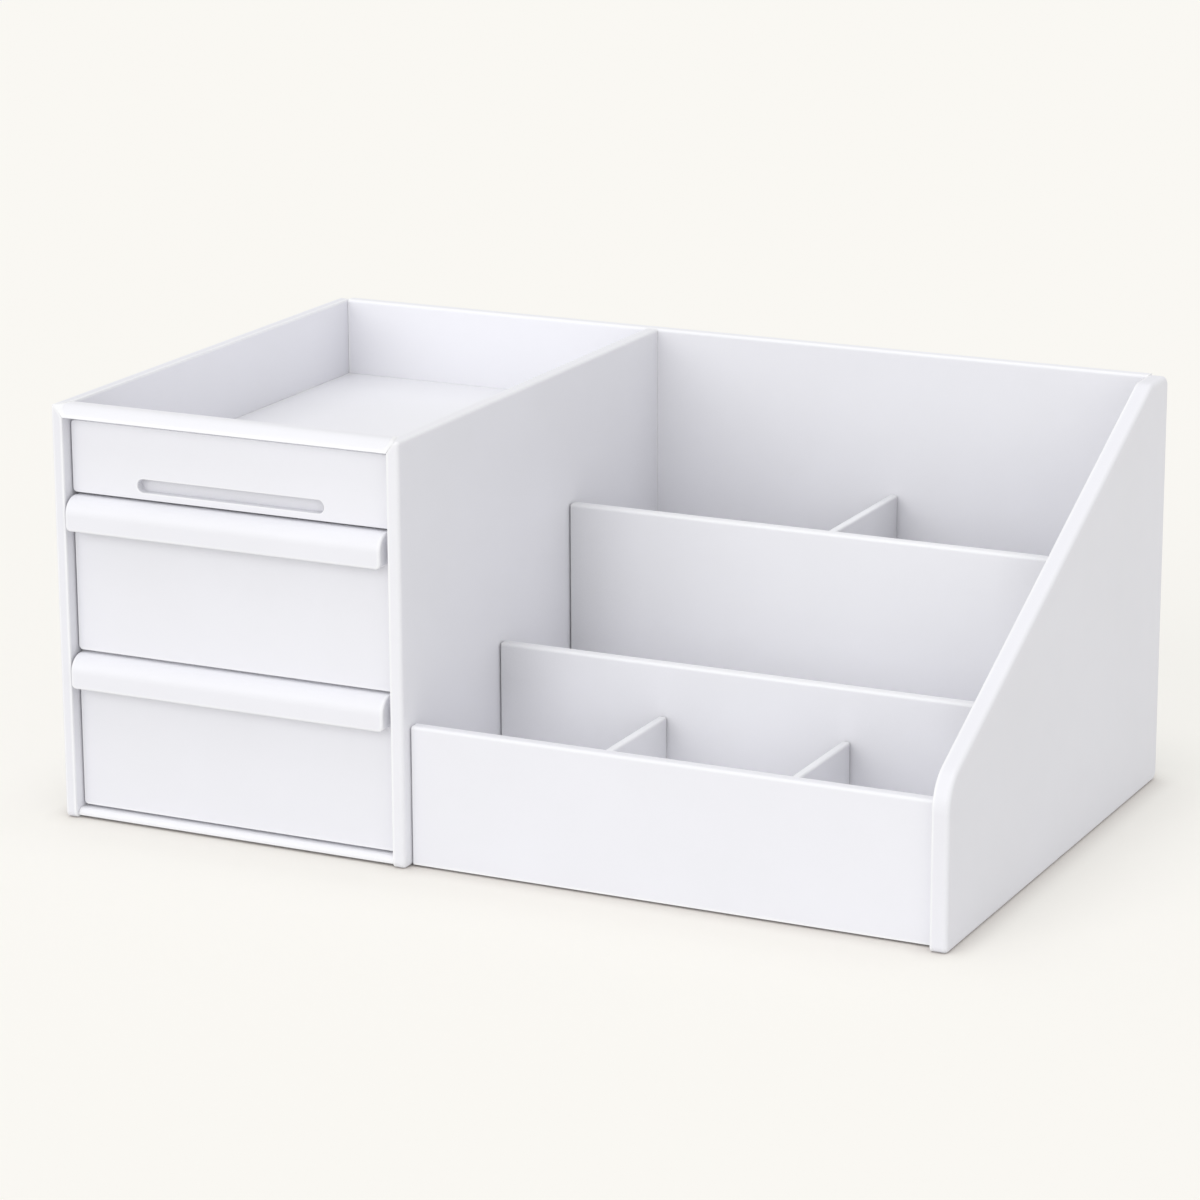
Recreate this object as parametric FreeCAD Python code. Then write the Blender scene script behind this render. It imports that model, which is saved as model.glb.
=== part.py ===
import FreeCAD, Part
import math
import os
from collections import namedtuple

# Desktop organizer: a drawer unit with an open top tray on the left, stepped open bins on the right.
# Moulded plates press together with tabs and sockets. Millimetres, +X to the right, +Y to the back,
# +Z up. The origin is the middle of the footprint, pull bars included, on the table.

# Overall size
width = 340.0
depth = 211.0
height = 152.5
drawer_unit_width = 138.5

# Wall thicknesses
left_wall = 4.2
middle_wall = 4.8
right_wall = 6.2
back_wall = 4.6
step_wall = 4.6
divider_wall = 3.0
floor_plate = 2.6
front_plate = 2.5
board_plate = 4.4

# Rounding of edges
outer_round = 1.6
left_outer_round = 0.6
rim_round = 1.1
rear_rim_round = 0.8
strip_round = 0.3
reveal_round = 0.5
inner_round = 0.4
end_round = 0.7

# Side panel outlines
front_foot_round = 2.4
back_foot_round = 3.6
back_top_round = 4.0
slope_foot = 57.8
knee_round = 15.0
slope_flat = 18.0
slope_top_round = 8.0

# Rounded rim along the top of the front
rim_drop = 4.4
rim_depth = 8.4
rim_lean = 0.9
rim_curve = 5.0

# Fronts, set back from the edges of the side panels
front_setback = 4.8
front_side_gap = 0.5
front_gap = 0.9
front_corner = 1.6
drawer_front_height = 57.1
rim_groove = 1.6

# Stadium-shaped recess in the tray's front board, and the tongue that holds the board in the rim
recess_length = 75.0
recess_height = 4.8
recess_depth = 3.5
recess_round = 0.3
recess_above_edge = 2.6
tongue_place = 1.0
tongue_thickness = 1.4
tongue_inset = 3.0

# Pull bar along the top of each drawer front
pull_reach = 6.4
pull_height = 12.1
pull_wall = 2.0
pull_curve = 6.2
pull_edge_round = 0.8
pull_corner = 1.8
pull_end_wall = 1.6
pull_left_inset = 0.3
pull_right_inset = 1.8

# Base plates and their rounded front edge
base_lift = 0.8
base_setback = 1.6
base_front_round = 1.8

# Stepped bins: heights of the walls, places of their front faces behind the panels' front edges
low_wall_height = 51.0
middle_step_height = 63.3
middle_step_place = 72.8
rear_step_height = 101.6
rear_step_place = 129.6
front_divider_height = 44.3
rear_divider_height = 98.0
front_bin_widths = [63.5, 67.0]
rear_left_bin_width = 96.0

# Drawer boxes
box_wall = 2.0
box_floor = 2.0
box_side_gap = 1.0
box_top_gap = 0.9
box_back_gap = 3.0
box_draft = 0.5
box_corner = 5.0
box_floor_round = 2.5
glide_height = 1.0
glide_width = 3.0
glide_inset = 12.0
glide_end_inset = 6.0
fine_round = 0.5

# Stops: a lip under each deck's front edge, and a bar on its underside. A catch on the drawer's back
# wall meets the bar's rear face, at its place behind the panels' front edges, after 150 mm of travel.
deck_lip = 1.6
deck_lip_width = 2.0
deck_rib_width = 1.6
deck_rib_count = 4
deck_rib_slope = 3.0
stop_place = 51.1
stop_width = 40.0
stop_thickness = 2.0
catch_width = 12.0
catch_root = 6.0
catch_thickness = 1.6
catch_tip_gap = 0.5

# Clearances and the tabs and clips that hold the pieces together
running_gap = 0.3
wall_end_gap = 0.4
plate_end_gap = 0.1
tab_gap = 0.15
tab_grip = 2.2
root_depth = 0.5
tab_thickness = 1.5
tab_taper = 0.2
floor_tab_length = 14.0
wall_tab_length = 12.0
board_tab_length = 10.0
rim_tab_length = 2.6
clip_length = 9.0
clip_reach = 3.0
clip_side_place = 0.2
low_clip_height = 14.0
high_clip_height = 40.0
mitre_gap = 0.05
cut_clear = 1.0

# Planes worked out from the sizes above
left = -width / 2
right = width / 2
pull_proud = max(pull_reach - front_setback, 0)
front = (pull_proud - depth) / 2
back = front + depth
bay_left = left + left_wall
bay_right = left + drawer_unit_width - middle_wall
bins_left = left + drawer_unit_width
bins_right = right - right_wall
back_face = back - back_wall
front_face = front + front_setback
front_back_face = front_face + front_plate
base_top = base_lift + floor_plate
rim_bottom = height - rim_drop
lower_front_bottom = base_top + front_gap
lower_front_top = lower_front_bottom + drawer_front_height
upper_front_bottom = lower_front_top + front_gap
upper_front_top = upper_front_bottom + drawer_front_height
board_bottom = upper_front_top + front_gap
board_top = rim_bottom - rim_groove
shelf_middle = (lower_front_top + upper_front_bottom) / 2
shelf_top = shelf_middle + floor_plate / 2
tray_floor_top = board_bottom + floor_plate
shelf_front = front_back_face + running_gap
tray_floor_front = front_face + board_plate + plate_end_gap
board_left = bay_left + front_side_gap
board_right = bay_right - front_side_gap
tongue_reach = rim_groove + rim_drop * 0.4
box_front = front_back_face
box_back = back_face - box_back_gap
box_left = bay_left + box_side_gap
box_right = bay_right - box_side_gap
catch_face = box_back - box_wall

across = FreeCAD.Vector(1, 0, 0)
inward = FreeCAD.Vector(0, 1, 0)
up = FreeCAD.Vector(0, 0, 1)


# Outlines
def side_view(x):
    return lambda a, b: FreeCAD.Vector(x, a, b)


def front_view(y):
    return lambda a, b: FreeCAD.Vector(a, y, b)


def plan_view(z):
    return lambda a, b: FreeCAD.Vector(a, b, z)


def corner_points(before, here, after, radius):
    """Where a rounded corner starts, its middle and its end. A sharp corner is one point."""
    if radius == 0:
        return [here]
    back_along = (before - here).normalize()
    ahead = (after - here).normalize()
    half_angle = back_along.getAngle(ahead) / 2
    tangent = radius / math.tan(half_angle)
    centre = here + (back_along + ahead).normalize() * (radius / math.sin(half_angle))
    middle = centre + (here - centre).normalize() * radius
    return [here + back_along * tangent, middle, here + ahead * tangent]


def rounded_wire(corners, view):
    """A closed outline through corners given as (a, b, radius), drawn in the given view."""
    points = [FreeCAD.Vector(a, b, 0) for a, b, radius in corners]
    count = len(points)
    stretches = []
    for number, corner in enumerate(corners):
        after = points[(number + 1) % count]
        stretches.append(corner_points(points[number - 1], points[number], after, corner[2]))
    edges = []
    for number, stretch in enumerate(stretches):
        placed = [view(point.x, point.y) for point in stretch]
        if len(placed) == 3:
            edges.append(Part.Arc(*placed).toShape())
        start = stretches[(number + 1) % count][0]
        onward = view(start.x, start.y)
        if placed[-1].distanceToPoint(onward) > 1e-6:
            edges.append(Part.LineSegment(placed[-1], onward).toShape())
    return Part.Wire(edges)


def rounded_plate(corners, view, thickness):
    return Part.Face(rounded_wire(corners, view)).extrude(thickness)


def rectangle(a_low, b_low, a_high, b_high, radius=0.0):
    ends = [(a_low, b_low), (a_high, b_low), (a_high, b_high), (a_low, b_high)]
    return [(a, b, radius) for a, b in ends]


def round_edges(shape, radius, test):
    """Fillets the edges whose bounding box passes the test."""
    chosen = [edge for edge in shape.Edges if test(edge.BoundBox)]
    return shape.makeFillet(radius, chosen)


def near(value, target):
    return abs(value - target) < 1e-3


def on_plane(low, high, target):
    return near(low, target) and near(high, target)


# Tabs and sockets. A seat is where a piece's tab enters the face of its neighbour.
Seat = namedtuple("Seat", "piece into point out along length gap")


def block(point, out, along, length, thickness, start, end, taper=0.0):
    """A bar square to a face, from start to end along out, narrowing by taper all round."""
    side = out.cross(along)
    sections = []
    for reach, shrink in ((start, 0.0), (end, taper)):
        centre = point + out * reach
        half_long = along * (length / 2 - shrink)
        half_thick = side * (thickness / 2 - shrink)
        ring = [centre + half_long + half_thick, centre + half_long - half_thick,
                centre - half_long - half_thick, centre - half_long + half_thick]
        sections.append(Part.makePolygon(ring + ring[:1]))
    return Part.makeLoft(sections, True, True)


def tab(seat, grip=tab_grip):
    return block(seat.point, seat.out, seat.along, seat.length, tab_thickness,
                 -seat.gap - root_depth, grip, tab_taper)


def socket(seat, grip=tab_grip + tab_gap):
    return block(seat.point, seat.out, seat.along, seat.length + 2 * tab_gap,
                 tab_thickness + 2 * tab_gap, -root_depth, grip)


def add_tabs(shape, piece):
    return shape.fuse([tab(seat) for seat in seats if seat.piece == piece])


def cut_sockets(shape, piece):
    return shape.cut([socket(seat) for seat in seats if seat.into == piece])


def spaced(low, high, count):
    """Middles of equal stretches between two ends."""
    step = (high - low) / count
    return [low + step * (number + 0.5) for number in range(count)]


def floor_seats(piece, left_panel, x_left, right_panel, x_right, y_low, z, count):
    """Seats of a level plate between two side panels, with the same count at each end."""
    places = spaced(y_low, back_face, count)
    found = [Seat(piece, left_panel, FreeCAD.Vector(x_left, y, z), -across, inward,
                  floor_tab_length, plate_end_gap) for y in places]
    found += [Seat(piece, right_panel, FreeCAD.Vector(x_right, y, z), across, inward,
                   floor_tab_length, plate_end_gap) for y in places]
    return found


def wall_seats(piece, left_panel, x_left, right_panel, x_right, y, z_low, z_high, count, length, gap):
    """Seats of an upright plate between two side panels."""
    places = spaced(z_low, z_high, count)
    found = [Seat(piece, left_panel, FreeCAD.Vector(x_left, y, z), -across, up, length, gap)
             for z in places]
    found += [Seat(piece, right_panel, FreeCAD.Vector(x_right, y, z), across, up, length, gap)
              for z in places]
    return found


def divider_seats(piece, ahead, y_ahead, behind, y_behind, x, z):
    """Seats of a small divider between the wall in front of it and the wall behind it."""
    return [Seat(piece, ahead, FreeCAD.Vector(x, y_ahead, z), -inward, up, wall_tab_length, plate_end_gap),
            Seat(piece, behind, FreeCAD.Vector(x, y_behind, z), inward, up, wall_tab_length, wall_end_gap)]


# Places of the walls and dividers between the bins
low_wall_back = front_face + step_wall
middle_step_face = front + middle_step_place
middle_step_back = middle_step_face + step_wall
rear_step_face = front + rear_step_place
rear_step_back = rear_step_face + step_wall
first_divider = bins_left + front_bin_widths[0] + divider_wall / 2
second_divider = first_divider + divider_wall + front_bin_widths[1]
rear_divider = bins_left + rear_left_bin_width + divider_wall / 2
rim_tab_place = FreeCAD.Vector(0, front + rim_depth - rim_tab_length * 0.6, rim_bottom + tab_thickness * 0.75)

seats = []
seats += floor_seats("drawer_bay_base", "left_side_panel", bay_left, "middle_side_panel", bay_right,
                     front, base_top - floor_plate / 2, 3)
seats += floor_seats("drawer_shelf", "left_side_panel", bay_left, "middle_side_panel", bay_right,
                     front, shelf_top - floor_plate / 2, 3)
seats += floor_seats("tray_floor", "left_side_panel", bay_left, "middle_side_panel", bay_right,
                     front, tray_floor_top - floor_plate / 2, 3)
seats += floor_seats("compartment_base", "middle_side_panel", bins_left, "right_side_panel", bins_right,
                     front, base_top - floor_plate / 2, 2)
seats += wall_seats("tray_front_board", "left_side_panel", bay_left, "middle_side_panel", bay_right,
                    front_face + board_plate - tab_thickness, board_bottom, board_top, 1,
                    board_tab_length, front_side_gap)
seats += wall_seats("compartment_front_panel", "middle_side_panel", bins_left,
                    "right_side_panel", bins_right, front_face + step_wall / 2,
                    base_top, low_wall_height, 1, wall_tab_length, wall_end_gap)
seats += wall_seats("middle_step_wall", "middle_side_panel", bins_left, "right_side_panel", bins_right,
                    middle_step_face + step_wall / 2, base_top, middle_step_height, 2,
                    wall_tab_length, wall_end_gap)
seats += wall_seats("rear_step_wall", "middle_side_panel", bins_left, "right_side_panel", bins_right,
                    rear_step_face + step_wall / 2, base_top, rear_step_height, 2,
                    wall_tab_length, wall_end_gap)
seats += wall_seats("back_panel", "left_side_panel", bay_left, "right_side_panel", bins_right,
                    back_face + back_wall / 2, 0, height, 3, wall_tab_length, plate_end_gap)
for x_face, panel, out in ((bay_left, "left_side_panel", -across),
                           (bay_right, "middle_side_panel", across)):
    place = FreeCAD.Vector(x_face, rim_tab_place.y, rim_tab_place.z)
    seats.append(Seat("tray_front_rim", panel, place, out, inward, rim_tab_length, plate_end_gap))
for z_place in spaced(0, height, 3):
    place = FreeCAD.Vector(bins_left - middle_wall / 2, back_face, z_place)
    seats.append(Seat("middle_side_panel", "back_panel", place, inward, up, wall_tab_length, plate_end_gap))
for name, x_place in (("front_row_divider_left", first_divider),
                      ("front_row_divider_right", second_divider)):
    seats += divider_seats(name, "compartment_front_panel", low_wall_back, "middle_step_wall",
                           middle_step_face, x_place, (base_top + front_divider_height) / 2)
seats += divider_seats("rear_row_divider", "rear_step_wall", rear_step_back, "back_panel", back_face,
                       rear_divider, (base_top + rear_divider_height) / 2)


# Rounded rim and side panels
def rim_outline():
    """Section of the rim: leaning front face, large curve, flat top, drawn as (y, z, radius)."""
    return [(front, rim_bottom, 0.0), (front + rim_lean, height, rim_curve),
            (front + rim_depth, height, rim_round), (front + rim_depth, rim_bottom, reveal_round)]


def rim_end(inner_x, corner_x):
    """The rim's section drawn out to the panel's outer corner, so that it ends in a mitre on both faces."""
    corners = rim_outline()
    foot = FreeCAD.Vector(front, rim_bottom, 0)
    bend = FreeCAD.Vector(front + rim_lean, height, 0)
    rear = FreeCAD.Vector(front + rim_depth, height, 0)
    curve_start, curve_middle, curve_end = corner_points(foot, bend, rear, rim_curve)
    view = side_view(inner_x)
    placed = [view(point.x, point.y) for point in (foot, curve_start, curve_middle, curve_end, rear)]
    edges = [Part.LineSegment(placed[0], placed[1]).toShape(),
             Part.Arc(placed[1], placed[2], placed[3]).toShape(),
             Part.LineSegment(placed[3], placed[4]).toShape(),
             Part.LineSegment(placed[4], placed[0]).toShape()]
    corner = Part.Vertex(FreeCAD.Vector(corner_x, front, height))
    return Part.makeLoft([Part.Wire(edges), corner], True, True)


def mitre_cut(inner_x, corner_x):
    """Room for the rim's end in a side panel, out to the same corner."""
    view = side_view(inner_x)
    low = rim_bottom - mitre_gap
    rear = front + rim_depth + mitre_gap
    over = height + cut_clear
    ahead = front - cut_clear
    ring = [view(front, low), view(ahead, low), view(ahead, over), view(rear, over), view(rear, height)]
    corner = Part.Vertex(FreeCAD.Vector(corner_x, front, height))
    return Part.makeLoft([Part.makePolygon(ring + ring[:1]), corner], True, True)


def seat_for_rim(inner_x, out):
    """Square corner that fills a side panel's rounded edges where the rim meets it."""
    far_x = inner_x + out.x * rim_round
    return Part.makeBox(rim_round, rim_depth, rim_drop,
                        FreeCAD.Vector(min(inner_x, far_x), front, rim_bottom))


def upright_outline(back_y):
    return [(front, 0, front_foot_round), (back_y, 0, back_foot_round),
            (back_y, height, back_top_round), (front, height, 0.0)]


def left_side_panel():
    panel = rounded_plate(upright_outline(back), side_view(left), across * left_wall)
    panel = round_edges(panel, left_outer_round, lambda box: on_plane(box.XMin, box.XMax, left))
    panel = round_edges(panel, inner_round, lambda box: on_plane(box.XMin, box.XMax, bay_left))
    panel = panel.fuse(seat_for_rim(bay_left, -across)).cut(mitre_cut(bay_left, left + left_outer_round))
    return cut_sockets(panel, "left_side_panel")


def middle_side_panel():
    outline = [(front, 0, front_foot_round), (back_face - plate_end_gap, 0, 0.0),
               (back_face - plate_end_gap, height, 0.0), (front, height, 0.0)]
    panel = rounded_plate(outline, side_view(bay_right), across * middle_wall)
    panel = round_edges(panel, outer_round, lambda box: on_plane(box.XMin, box.XMax, bins_left)
                        and on_plane(box.YMin, box.YMax, front))
    panel = round_edges(panel, rim_round, lambda box: on_plane(box.ZMin, box.ZMax, height)
                        and box.YLength > depth / 2)
    panel = round_edges(panel, strip_round, lambda box: on_plane(box.XMin, box.XMax, bay_right)
                        and on_plane(box.YMin, box.YMax, front))
    panel = panel.fuse(seat_for_rim(bay_right, across)).cut(mitre_cut(bay_right, bins_left - outer_round))
    panel = cut_sockets(panel, "middle_side_panel")
    return add_tabs(panel, "middle_side_panel")


def right_side_panel():
    outline = [(front, 0, front_foot_round), (back, 0, back_foot_round), (back, height, back_top_round),
               (back - slope_flat, height, slope_top_round), (front, slope_foot, knee_round)]
    panel = rounded_plate(outline, side_view(bins_right), across * right_wall)
    panel = round_edges(panel, outer_round, lambda box: on_plane(box.XMin, box.XMax, right))
    panel = round_edges(panel, inner_round, lambda box: on_plane(box.XMin, box.XMax, bins_right))
    return cut_sockets(panel, "right_side_panel")


def back_panel():
    section = [(back_face, 0, 0.0), (back, 0, end_round), (back, height, rear_rim_round),
               (back_face, height, rim_round)]
    x_low = bay_left + plate_end_gap
    panel = rounded_plate(section, side_view(x_low), across * (bins_right - plate_end_gap - x_low))
    panel = cut_sockets(panel, "back_panel")
    return add_tabs(panel, "back_panel")


# Tray
def tray_front_rim():
    x_low = bay_left + plate_end_gap
    x_high = bay_right - plate_end_gap
    rim = rounded_plate(rim_outline(), side_view(x_low), across * (x_high - x_low))
    rim = rim.fuse([rim_end(x_low, left + left_outer_round), rim_end(x_high, bins_left - outer_round)])
    groove_front = front_face + tongue_place - tab_gap
    groove_back = front_face + tongue_place + tongue_thickness + tab_gap
    groove_low = board_left + tongue_inset - tab_gap
    groove_high = board_right - tongue_inset + tab_gap
    groove = rounded_plate(rectangle(groove_front, rim_bottom - cut_clear,
                                     groove_back, board_top + tongue_reach + tab_gap),
                           side_view(groove_low), across * (groove_high - groove_low))
    return add_tabs(rim.cut(groove), "tray_front_rim")


def tray_front_board():
    outline = rectangle(board_left, board_bottom, board_right, board_top, front_corner)
    board = rounded_plate(outline, front_view(front_face), inward * board_plate)
    board = round_edges(board, reveal_round, lambda box: on_plane(box.YMin, box.YMax, front_face))
    middle = (board_left + board_right) / 2
    recess_low = board_bottom + recess_above_edge
    stadium = rectangle(middle - recess_length / 2, recess_low, middle + recess_length / 2,
                        recess_low + recess_height, recess_height / 2)
    recess = rounded_plate(stadium, front_view(front_face - cut_clear), inward * (recess_depth + cut_clear))
    board = board.cut(recess)
    board = round_edges(board, recess_round, lambda box: on_plane(box.YMin, box.YMax, front_face)
                        and box.ZMin > board_bottom + recess_above_edge / 2
                        and box.ZMax < board_top - front_corner)
    tongue_outline = rectangle(board_left + tongue_inset, board_top - root_depth,
                               board_right - tongue_inset, board_top + tongue_reach)
    tongue = rounded_plate(tongue_outline, front_view(front_face + tongue_place), inward * tongue_thickness)
    return add_tabs(board.fuse(tongue), "tray_front_board")


# Level plates
def deck(piece, top, deck_front):
    """Level plate over a drawer, with a front lip, long ribs and a stop bar on its underside."""
    under = top - floor_plate
    x_low = bay_left + plate_end_gap
    length = bay_right - plate_end_gap - x_low
    y_high = back_face - plate_end_gap
    lip_bottom = under - deck_lip
    lip_back = deck_front + deck_lip_width
    section = [(deck_front, lip_bottom, fine_round), (lip_back, lip_bottom, fine_round),
               (lip_back, under, 0.0), (y_high, under, 0.0), (y_high, top, 0.0),
               (deck_front, top, fine_round)]
    plate = rounded_plate(section, side_view(x_low), across * length)
    root = under + root_depth
    rib_start = deck_front + fine_round
    rib_outline = [(rib_start, root, 0.0), (y_high, root, 0.0),
                   (y_high - deck_rib_slope, lip_bottom, fine_round), (rib_start, lip_bottom, 0.0)]
    ribs = [rounded_plate(rib_outline, side_view(x - deck_rib_width / 2), across * deck_rib_width)
            for x in spaced(x_low, x_low + length, deck_rib_count)]
    stop_back = front + stop_place
    stop_front = stop_back - stop_thickness
    stop = rounded_plate([(stop_back, root, 0.0), (stop_front, root, 0.0),
                          (stop_front, lip_bottom, fine_round), (stop_back, lip_bottom, 0.0)],
                         side_view((bay_left + bay_right - stop_width) / 2), across * stop_width)
    return add_tabs(plate.fuse(ribs + [stop]), piece)


def base(piece, x_low, x_high, y_low):
    """Level plate close over the table, with a rounded top edge at the front."""
    y_high = back_face - plate_end_gap
    section = [(y_low, base_lift, fine_round), (y_high, base_lift, 0.0), (y_high, base_top, 0.0),
               (y_low, base_top, base_front_round)]
    plate = rounded_plate(section, side_view(x_low), across * (x_high - x_low))
    return add_tabs(plate, piece)


def drawer_bay_base():
    return base("drawer_bay_base", bay_left + plate_end_gap, bay_right - plate_end_gap,
                front + base_setback)


def compartment_base():
    return base("compartment_base", bins_left + plate_end_gap, bins_right - plate_end_gap,
                low_wall_back + plate_end_gap)


# Walls of the bins
def step_plate(piece, face_y, low, high):
    """Upright wall between the middle and right side panels, rounded along its top and left end."""
    section = [(face_y, low, 0.0), (face_y + step_wall, low, 0.0),
               (face_y + step_wall, high, rear_rim_round), (face_y, high, rim_round)]
    x_low = bins_left + wall_end_gap
    length = bins_right - wall_end_gap - x_low
    wall = rounded_plate(section, side_view(x_low), across * length)
    wall = round_edges(wall, end_round, lambda box: on_plane(box.XMin, box.XMax, x_low)
                       and box.ZMax > low + end_round)
    wall = cut_sockets(wall, piece)
    return add_tabs(wall, piece)


def compartment_front_panel():
    return step_plate("compartment_front_panel", front_face, base_lift, low_wall_height)


def middle_step_wall():
    return step_plate("middle_step_wall", middle_step_face, base_top, middle_step_height)


def rear_step_wall():
    return step_plate("rear_step_wall", rear_step_face, base_top, rear_step_height)


def divider(piece, x, y_ahead, y_behind, high):
    """Small divider, rounded along its top and down its rear top corner."""
    section = [(x - divider_wall / 2, base_top, 0.0), (x + divider_wall / 2, base_top, 0.0),
               (x + divider_wall / 2, high, rear_rim_round), (x - divider_wall / 2, high, rear_rim_round)]
    start = y_ahead + plate_end_gap
    plate = rounded_plate(section, front_view(start), inward * (y_behind - wall_end_gap - start))
    plate = round_edges(plate, end_round, lambda box: on_plane(box.YMin, box.YMax, y_behind - wall_end_gap)
                        and box.ZMax > base_top + end_round)
    return add_tabs(plate, piece)


# Drawers
def plan_ring(inset, z):
    """Plan outline of a drawer box, drawn in by inset at its sides and back, with a straight front."""
    return rounded_wire([(box_left + inset, box_front, fine_round),
                         (box_right - inset, box_front, fine_round),
                         (box_right - inset, box_back - inset, box_corner - inset),
                         (box_left + inset, box_back - inset, box_corner - inset)], plan_view(z))


def inner_ring(inset, z):
    """Plan outline of the hollow inside the box, one wall in from the outside."""
    low = box_front + box_wall
    corner = box_corner - box_wall
    return rounded_wire([(box_left + box_wall + inset, low, corner),
                         (box_right - box_wall - inset, low, corner),
                         (box_right - box_wall - inset, box_back - box_wall - inset, corner - inset),
                         (box_left + box_wall + inset, box_back - box_wall - inset, corner - inset)],
                        plan_view(z))


def clip_places(front_bottom):
    """Where the front's clips pass through the box's front wall: two high, two low."""
    inset = (box_right - box_left) * clip_side_place
    return [FreeCAD.Vector(x, front_back_face, front_bottom + z)
            for x in (box_left + inset, box_right - inset) for z in (low_clip_height, high_clip_height)]


def drawer_box(front_bottom, shelf_below, deck_above):
    """Moulded box: drafted walls, rounded floor, glide ribs below and a catch on the back wall."""
    underside = shelf_below + running_gap + glide_height
    top = deck_above - deck_lip - box_top_gap
    outside = Part.makeLoft([plan_ring(box_draft, underside), plan_ring(0.0, top)], True, True)
    inside = Part.makeLoft([inner_ring(box_draft, underside + box_floor), inner_ring(0.0, top + cut_clear)],
                           True, True)
    inside = round_edges(inside, box_floor_round,
                         lambda box: on_plane(box.ZMin, box.ZMax, underside + box_floor))
    shell = outside.cut(inside)
    root = underside + root_depth
    foot = underside - glide_height
    fore_end = box_front + glide_end_inset
    rear_end = box_back - glide_end_inset
    glide_outline = [(fore_end - glide_height, root, 0.0), (rear_end + glide_height, root, 0.0),
                     (rear_end, foot, fine_round), (fore_end, foot, fine_round)]
    glides = [rounded_plate(glide_outline, side_view(x - glide_width / 2), across * glide_width)
              for x in (box_left + glide_inset, box_right - glide_inset)]
    middle = (box_left + box_right) / 2
    catch_outline = rectangle(middle - catch_width / 2, top - catch_root, middle + catch_width / 2,
                              deck_above - catch_tip_gap, fine_round)
    catch = rounded_plate(catch_outline, front_view(catch_face), inward * catch_thickness)
    shell = shell.fuse(glides + [catch])
    slots = [block(place, inward, across, clip_length + 2 * tab_gap, tab_thickness + 2 * tab_gap,
                   -root_depth, box_wall + cut_clear) for place in clip_places(front_bottom)]
    return shell.cut(slots)


def pull_bar(top):
    """Awning-shaped bar with closed ends: it curves forward from the front's top edge and hangs as a lip."""
    outer_y = front_face - pull_reach
    inner_y = outer_y + pull_wall
    root = front_face + root_depth
    lip_bottom = top - pull_height
    x_low = bay_left + front_side_gap + pull_left_inset
    x_high = bay_right - front_side_gap - pull_right_inset
    section = [(root, top, 0.0), (outer_y, top, pull_curve),
               (outer_y, lip_bottom, 0.0), (root, lip_bottom, 0.0)]
    bar = rounded_plate(section, side_view(x_low), across * (x_high - x_low))
    outline = [(x_low, lip_bottom, pull_corner), (x_high, lip_bottom, pull_corner),
               (x_high, top, 0.0), (x_low, top, 0.0)]
    bar = bar.common(rounded_plate(outline, front_view(outer_y), inward * (root - outer_y)))
    bar = round_edges(bar, pull_edge_round, lambda box: near(box.YMin, outer_y)
                      and box.ZMax < top + root_depth and not on_plane(box.ZMin, box.ZMax, top - pull_curve))
    hollow = [(inner_y, lip_bottom - cut_clear, 0.0), (front_face, lip_bottom - cut_clear, 0.0),
              (front_face, top - pull_wall, 0.0), (inner_y, top - pull_wall, pull_curve - pull_wall)]
    hollow_low = x_low + pull_end_wall
    hollow_high = x_high - pull_end_wall
    return bar.cut(rounded_plate(hollow, side_view(hollow_low), across * (hollow_high - hollow_low)))


def drawer_front(bottom):
    """Flat front with its pull bar and the clips that hold it to the box."""
    x_low = bay_left + front_side_gap
    x_high = bay_right - front_side_gap
    top = bottom + drawer_front_height
    outline = [(x_low, bottom, front_corner), (x_high, bottom, front_corner),
               (x_high, top, front_corner), (x_low, top, front_corner)]
    plate = rounded_plate(outline, front_view(front_face), inward * front_plate)
    plate = round_edges(plate, reveal_round, lambda box: on_plane(box.YMin, box.YMax, front_face)
                        and not on_plane(box.ZMin, box.ZMax, top))
    clips = [block(place, inward, across, clip_length, tab_thickness, -root_depth,
                   clip_reach, tab_taper) for place in clip_places(bottom)]
    return plate.fuse([pull_bar(top)] + clips)


pieces = {
    "left_side_panel": left_side_panel(),
    "middle_side_panel": middle_side_panel(),
    "right_side_panel": right_side_panel(),
    "back_panel": back_panel(),
    "tray_front_rim": tray_front_rim(),
    "tray_front_board": tray_front_board(),
    "tray_floor": deck("tray_floor", tray_floor_top, tray_floor_front),
    "drawer_shelf": deck("drawer_shelf", shelf_top, shelf_front),
    "drawer_bay_base": drawer_bay_base(),
    "compartment_base": compartment_base(),
    "compartment_front_panel": compartment_front_panel(),
    "middle_step_wall": middle_step_wall(),
    "rear_step_wall": rear_step_wall(),
    "front_row_divider_left": divider("front_row_divider_left", first_divider, low_wall_back,
                                      middle_step_face, front_divider_height),
    "front_row_divider_right": divider("front_row_divider_right", second_divider, low_wall_back,
                                       middle_step_face, front_divider_height),
    "rear_row_divider": divider("rear_row_divider", rear_divider, rear_step_back, back_face,
                                rear_divider_height),
    "upper_drawer_front": drawer_front(upper_front_bottom),
    "upper_drawer_box": drawer_box(upper_front_bottom, shelf_top, tray_floor_top - floor_plate),
    "lower_drawer_front": drawer_front(lower_front_bottom),
    "lower_drawer_box": drawer_box(lower_front_bottom, base_top, shelf_top - floor_plate),
}

os.makedirs("parts", exist_ok=True)
for name, shape in pieces.items():
    solid = shape.removeSplitter()
    print(name, "solids", len(solid.Solids), "valid", solid.isValid(), "volume", round(solid.Volume, 1))
    solid.exportStep("parts/" + name + ".step")
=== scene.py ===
import bpy
import math
from mathutils import Euler, Matrix

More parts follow.
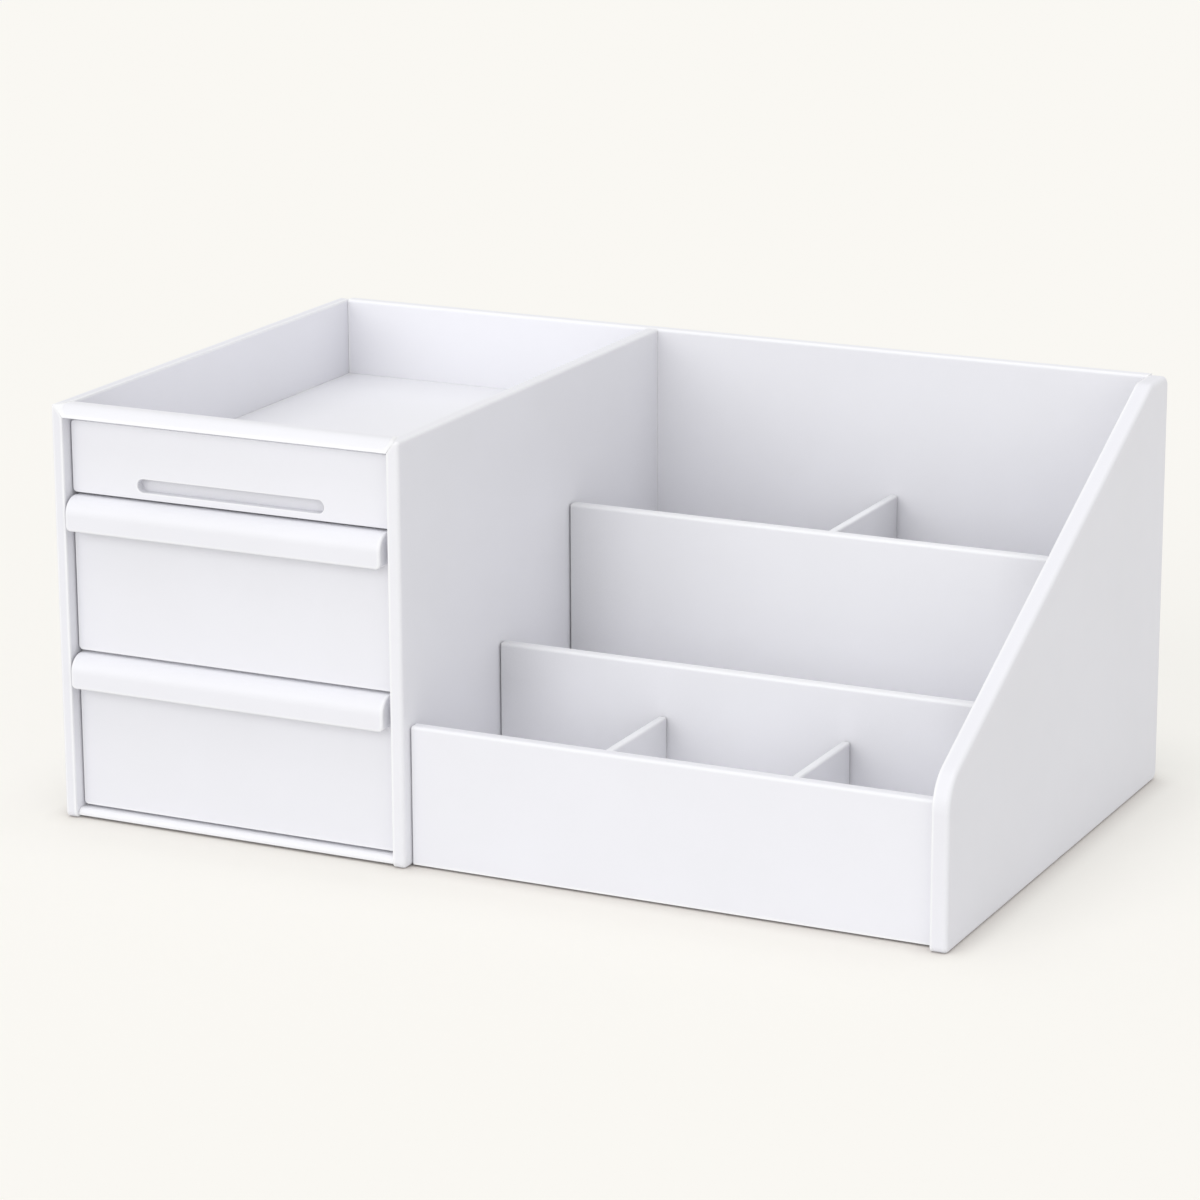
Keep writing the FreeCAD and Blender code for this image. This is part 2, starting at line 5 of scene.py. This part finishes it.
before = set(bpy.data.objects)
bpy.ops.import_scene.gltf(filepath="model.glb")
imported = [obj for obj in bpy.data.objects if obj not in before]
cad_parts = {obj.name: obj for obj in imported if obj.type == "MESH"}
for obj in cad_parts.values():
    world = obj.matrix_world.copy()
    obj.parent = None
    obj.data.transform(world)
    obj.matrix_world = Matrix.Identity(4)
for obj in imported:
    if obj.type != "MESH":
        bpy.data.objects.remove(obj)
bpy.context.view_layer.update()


# Camera: a long lens, a little above the organizer and off to its right, as in the photograph.
# Its place, its two angles and its slight roll, in degrees, were fitted to the object's corners.
camera_place = (0.654, -1.3577, 0.490)
camera_height_angle = 15.40
camera_side_angle = 25.95
camera_roll = -0.23
camera_data = bpy.data.cameras.new("camera")
camera_data.lens = 130.08
camera_data.sensor_width = 36.0
camera_data.clip_end = 20.0
camera = bpy.data.objects.new("camera", camera_data)
bpy.context.scene.collection.objects.link(camera)
level_turn = Euler((math.radians(90 - camera_height_angle), 0, math.radians(camera_side_angle)))
roll = Matrix.Rotation(math.radians(camera_roll), 4, "Z")
camera.matrix_world = Matrix.Translation(camera_place) @ level_turn.to_matrix().to_4x4() @ roll
bpy.context.scene.camera = camera


# Floor: a plain warm white studio floor of painted board that runs out of the frame on every side.
# The camera and reflections see it a little paler than the light that it throws back on the plastic. That
# extra paleness fades close to the object, which paints a dark contact shadow and a wider soft shadow around
# it.
floor_reach = 12.0
bounced_white = (0.76, 0.755, 0.74, 1)
seen_white = (0.663, 0.622, 0.588, 1)
extra_paleness = (0.322, 0.345, 0.335, 1)
contact_shadow = {"reach": 0.010, "darkest": 0.25, "left_over": 0.0}
wide_shadow = {"reach": 0.05, "darkest": 0.5, "left_over": 0.75}
open_floor = 0.95

floor_mesh = bpy.data.meshes.new("floor")
floor_mesh.from_pydata([(-floor_reach, -floor_reach, 0), (floor_reach, -floor_reach, 0),
                        (floor_reach, floor_reach, 0), (-floor_reach, floor_reach, 0)], [], [(0, 1, 2, 3)])
floor = bpy.data.objects.new("floor", floor_mesh)
bpy.context.scene.collection.objects.link(floor)
floor_paint = bpy.data.materials.new("floor_paint")
floor_paint.use_nodes = True
tree = floor_paint.node_tree
bounce = tree.nodes["Principled BSDF"]
bounce.inputs["Base Color"].default_value = bounced_white
bounce.inputs["Roughness"].default_value = 1.0
bounce.inputs["Specular IOR Level"].default_value = 0.0
seen = tree.nodes.new("ShaderNodeBsdfDiffuse")
seen.inputs["Color"].default_value = seen_white
glow = tree.nodes.new("ShaderNodeEmission")
glow.inputs["Color"].default_value = extra_paleness
# The paleness fades with closeness to the object: a painted contact shadow and a painted wide shadow.
both_shadows = tree.nodes.new("ShaderNodeMath")
both_shadows.operation = "MULTIPLY"
for socket, shadow in zip(both_shadows.inputs, (contact_shadow, wide_shadow)):
    closeness = tree.nodes.new("ShaderNodeAmbientOcclusion")
    closeness.samples = 8
    closeness.inputs["Distance"].default_value = shadow["reach"]
    fading = tree.nodes.new("ShaderNodeMapRange")
    fading.inputs["From Min"].default_value = shadow["darkest"]
    fading.inputs["From Max"].default_value = open_floor
    fading.inputs["To Min"].default_value = shadow["left_over"]
    tree.links.new(closeness.outputs["AO"], fading.inputs["Value"])
    tree.links.new(fading.outputs["Result"], socket)
tree.links.new(both_shadows.outputs["Value"], glow.inputs["Strength"])
seen_and_glow = tree.nodes.new("ShaderNodeAddShader")
tree.links.new(seen.outputs["BSDF"], seen_and_glow.inputs[0])
tree.links.new(glow.outputs["Emission"], seen_and_glow.inputs[1])
rays = tree.nodes.new("ShaderNodeLightPath")
looked_at = rays.outputs["Is Camera Ray"]
for reflected in ("Is Glossy Ray", "Is Transmission Ray"):
    either = tree.nodes.new("ShaderNodeMath")
    either.operation = "MAXIMUM"
    tree.links.new(looked_at, either.inputs[0])
    tree.links.new(rays.outputs[reflected], either.inputs[1])
    looked_at = either.outputs["Value"]
chosen = tree.nodes.new("ShaderNodeMixShader")
tree.links.new(looked_at, chosen.inputs["Fac"])
tree.links.new(bounce.outputs["BSDF"], chosen.inputs[1])
tree.links.new(seen_and_glow.outputs["Shader"], chosen.inputs[2])
tree.links.new(chosen.outputs["Shader"], tree.nodes["Material Output"].inputs["Surface"])
floor_mesh.materials.append(floor_paint)


# Light: an even white room, a wide soft lamp low on the left, a weaker one low on the right, and one
# overhead that draws the highlights along the pull bars and the top edges. Their angles are in degrees.
room_white = (0.722, 0.722, 0.722, 1)
lamps = (
    ("top_lamp", {"strength": 0.44, "spread": 24, "height": 78, "side": 0}),
    ("left_lamp", {"strength": 0.64, "spread": 40, "height": 22, "side": -20}),
    ("right_lamp", {"strength": 0.27, "spread": 40, "height": 12, "side": 45}),
)
room = bpy.data.worlds.new("room")
room.use_nodes = True
room.node_tree.nodes["Background"].inputs["Color"].default_value = room_white
bpy.context.scene.world = room
for lamp_name, aim in lamps:
    lamp_data = bpy.data.lights.new(lamp_name, "SUN")
    lamp_data.energy = aim["strength"]
    lamp_data.angle = math.radians(aim["spread"])
    lamp = bpy.data.objects.new(lamp_name, lamp_data)
    bpy.context.scene.collection.objects.link(lamp)
    lamp.rotation_euler = (math.radians(90 - aim["height"]), 0, math.radians(aim["side"]))
bpy.context.scene.view_settings.view_transform = "Standard"


# Side panels: injection-moulded white plastic plates with a satin face from a finely blasted mould, and with
# sockets for the tabs of the plates between them. Their rounded edges are smoother, where the mould is
# polished and hands rub them, and are painted paler as a painted highlight. The outer two are painted a shade
# deeper white than the middle one, as painted shade.
def moulded_plastic(name, white, rough, grain, painted_nook_shade,
                    nook_reach=0.03, own_nooks=False, edge_reach=0.0013):
    """Satin plastic with faint clouding, blasted grain, slow waviness, smoother edges painted paler as a
    painted highlight, and painted shade in the nooks.

    grain is the number of grains to the metre. painted_nook_shade is how much darker the colour is painted
    deep in a nook of about nook_reach, as painted shade; own_nooks counts only the piece's own hollows as
    nooks. edge_reach is how far in from an edge the smoothing and the painted highlight go, and is less than
    the piece's thinnest wall. Lengths are in metres.
    """
    plastic = bpy.data.materials.new(name)
    plastic.use_nodes = True
    tree = plastic.node_tree
    shader = tree.nodes["Principled BSDF"]
    place = tree.nodes.new("ShaderNodeTexCoord")

    def noise(scale, detail):
        node = tree.nodes.new("ShaderNodeTexNoise")
        node.inputs["Scale"].default_value = scale
        node.inputs["Detail"].default_value = detail
        tree.links.new(place.outputs["Object"], node.inputs["Vector"])
        return node.outputs["Fac"]

    def spread(value, low, high, to_low=0.0, to_high=1.0):
        node = tree.nodes.new("ShaderNodeMapRange")
        node.inputs["From Min"].default_value = low
        node.inputs["From Max"].default_value = high
        node.inputs["To Min"].default_value = to_low
        node.inputs["To Max"].default_value = to_high
        tree.links.new(value, node.inputs["Value"])
        return node.outputs["Result"]

    def times(first, second):
        node = tree.nodes.new("ShaderNodeMath")
        node.operation = "MULTIPLY"
        tree.links.new(first, node.inputs[0])
        tree.links.new(second, node.inputs[1])
        return node.outputs["Value"]

    def colour_mix(amount, low, high):
        node = tree.nodes.new("ShaderNodeMix")
        node.data_type = "RGBA"
        tree.links.new(amount, node.inputs["Factor"])
        for socket_name, value in (("A", low), ("B", high)):
            socket = next(s for s in node.inputs if s.name == socket_name and s.type == "RGBA")
            if isinstance(value, tuple):
                socket.default_value = value
            else:
                tree.links.new(value, socket)
        return next(s for s in node.outputs if s.type == "RGBA")

    def bump(heights, strength, depth, under=None):
        node = tree.nodes.new("ShaderNodeBump")
        node.inputs["Strength"].default_value = strength
        node.inputs["Distance"].default_value = depth
        tree.links.new(heights, node.inputs["Height"])
        if under:
            tree.links.new(under, node.inputs["Normal"])
        return node.outputs["Normal"]

    # Edges: looked for from inside the plate, where an edge leaves little plastic around a point
    thinness = tree.nodes.new("ShaderNodeAmbientOcclusion")
    thinness.inside = True
    thinness.only_local = True
    thinness.samples = 8
    thinness.inputs["Distance"].default_value = edge_reach
    edge = spread(thinness.outputs["AO"], low=0.97, high=0.72)
    patchiness = spread(noise(scale=60, detail=2), low=0.35, high=0.6, to_low=0.7)
    # The patchy edge mask makes the edges smoother and paints them paler, as a painted highlight.
    polish_and_painted_highlight = times(edge, patchiness)

    # Colour: clouded, painted paler at the edges as a painted highlight, and painted darker in the nooks as
    # painted shade, except low down by the pale floor
    red, green, blue = white
    dull = (red * 0.985, green * 0.985, blue * 0.982, 1)
    painted_highlight_white = (0.985, 0.988, 1.0, 1)
    clouds = spread(noise(scale=20, detail=3), low=0.35, high=0.65)
    clouded = colour_mix(clouds, dull, (red, green, blue, 1))
    # Painted shade: the colour is darkened where ambient occlusion finds a nook.
    nooks = tree.nodes.new("ShaderNodeAmbientOcclusion")
    nooks.samples = 5
    nooks.only_local = own_nooks
    nooks.inputs["Distance"].default_value = nook_reach
    height = tree.nodes.new("ShaderNodeSeparateXYZ")
    tree.links.new(place.outputs["Object"], height.inputs["Vector"])
    off_the_floor = spread(height.outputs["Z"], low=0.02, high=0.05)
    depth_of_nook = spread(nooks.outputs["AO"], low=0.0, high=1.0, to_low=-painted_nook_shade, to_high=0.0)
    shade = times(depth_of_nook, off_the_floor)
    painted_shade_node = tree.nodes.new("ShaderNodeHueSaturation")
    tree.links.new(spread(shade, low=-1.0, high=0.0), painted_shade_node.inputs["Value"])
    tree.links.new(colour_mix(polish_and_painted_highlight, clouded, painted_highlight_white), painted_shade_node.inputs["Color"])
    tree.links.new(painted_shade_node.outputs["Color"], shader.inputs["Base Color"])

    # Roughness: uneven from the blasting, smoother at the worn edges
    edge_smoothing = -0.12
    blasting = noise(scale=130, detail=2)
    smoother = tree.nodes.new("ShaderNodeMath")
    smoother.operation = "MULTIPLY_ADD"
    smoother.inputs[1].default_value = edge_smoothing
    tree.links.new(polish_and_painted_highlight, smoother.inputs[0])
    tree.links.new(spread(blasting, low=0.3, high=0.7, to_low=rough - 0.04, to_high=rough + 0.05),
                   smoother.inputs[2])
    tree.links.new(smoother.outputs["Value"], shader.inputs["Roughness"])

    # Surface: slow waves from the plastic's shrinking, and the mould's grain on top of them
    waves = bump(noise(scale=16, detail=1), strength=0.10, depth=0.0004)
    grained = bump(noise(scale=grain, detail=3), strength=0.16, depth=0.00003, under=waves)
    tree.links.new(grained, shader.inputs["Normal"])
    return plastic


def finish_pieces(names, plastic):
    """Gives moulded pieces their plastic."""
    for name in names:
        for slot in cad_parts[name].material_slots:
            slot.material = plastic


# All pieces are one white plastic; its white is set a shade paler or deeper from group to group, as painted
# light and shade.
satin = 0.42
fine_grain = 2600
satin_white = moulded_plastic("satin_white", (0.907, 0.907, 0.948), satin, fine_grain, painted_nook_shade=0.1)
finish_pieces(("middle_side_panel",), satin_white)
# The outer panels' white is painted a shade deeper than the middle one's, as painted shade.
outer_shaded_white = moulded_plastic("outer_shaded_white", (0.884, 0.884, 0.931), satin, fine_grain, painted_nook_shade=0.2)
finish_pieces(("left_side_panel", "right_side_panel"), outer_shaded_white)


# Back panel: one moulded plate across the whole back, in the same satin plastic, with its white set a little
# paler as painted light. Its tabs press into the two outer side panels, and the middle one's tabs press into
# it.
back_white = moulded_plastic("back_white", (0.927, 0.927, 0.966), satin, fine_grain, painted_nook_shade=0.1)
finish_pieces(("back_panel",), back_white)


# Tray front: a rounded rim bar mitred into the side panels, a little glossier from hands, and the fixed
# board under it with its stadium-shaped recess. Both are moulded. The board's tongue sits in a groove under
# the rim, and tabs hold both between the side panels.
rim_rough = 0.38
recess_reach = 0.006
under_recess_floor = 0.0007
rim_white = moulded_plastic("rim_white", (0.907, 0.907, 0.948), rim_rough, fine_grain, painted_nook_shade=0.0)
finish_pieces(("tray_front_rim",), rim_white)
# The board's recess is painted darker inside, as painted shade.
board_white = moulded_plastic("board_white", (0.912, 0.912, 0.957), satin, fine_grain, painted_nook_shade=0.22,
                              nook_reach=recess_reach, own_nooks=True, edge_reach=under_recess_floor)
finish_pieces(("tray_front_board",), board_white)


# Level plates: the tray floor, the drawer shelf and the two bases are moulded plates too, held by tabs at
# their ends. Their mould is blasted coarser, so that things laid on them don't slide or show scratches.
level_rough = 0.52
coarse_grain = 1700
floor_white = moulded_plastic("floor_white", (0.935, 0.935, 0.972), level_rough, coarse_grain,
                              painted_nook_shade=0.2)
finish_pieces(("tray_floor", "drawer_shelf", "drawer_bay_base", "compartment_base"), floor_white)


# Bins: the low front panel, the stepped walls and the dividers are plain moulded plates with rounded top
# edges. Tabs hold the panel and the walls to the side panels, and the dividers to what they stand between.
front_white = moulded_plastic("front_white", (0.897, 0.897, 0.942), satin, fine_grain, painted_nook_shade=0.0)
finish_pieces(("compartment_front_panel",), front_white)
# The walls get the strongest painted shade, deep in the bins.
wall_white = moulded_plastic("wall_white", (0.932, 0.932, 0.964), satin, fine_grain, painted_nook_shade=0.4)
finish_pieces(("middle_step_wall", "rear_step_wall", "front_row_divider_left",
               "front_row_divider_right", "rear_row_divider"), wall_white)


# Drawers: each has a flat satin front, moulded in one with its awning-shaped pull bar and clipped to a
# drafted box. The boxes are moulded in the same white, and are more matt.
box_rough = 0.55
finish_pieces(("upper_drawer_front", "lower_drawer_front"), front_white)
box_white = moulded_plastic("box_white", (0.92, 0.92, 0.95), box_rough, coarse_grain, painted_nook_shade=0.3)
finish_pieces(("upper_drawer_box", "lower_drawer_box"), box_white)
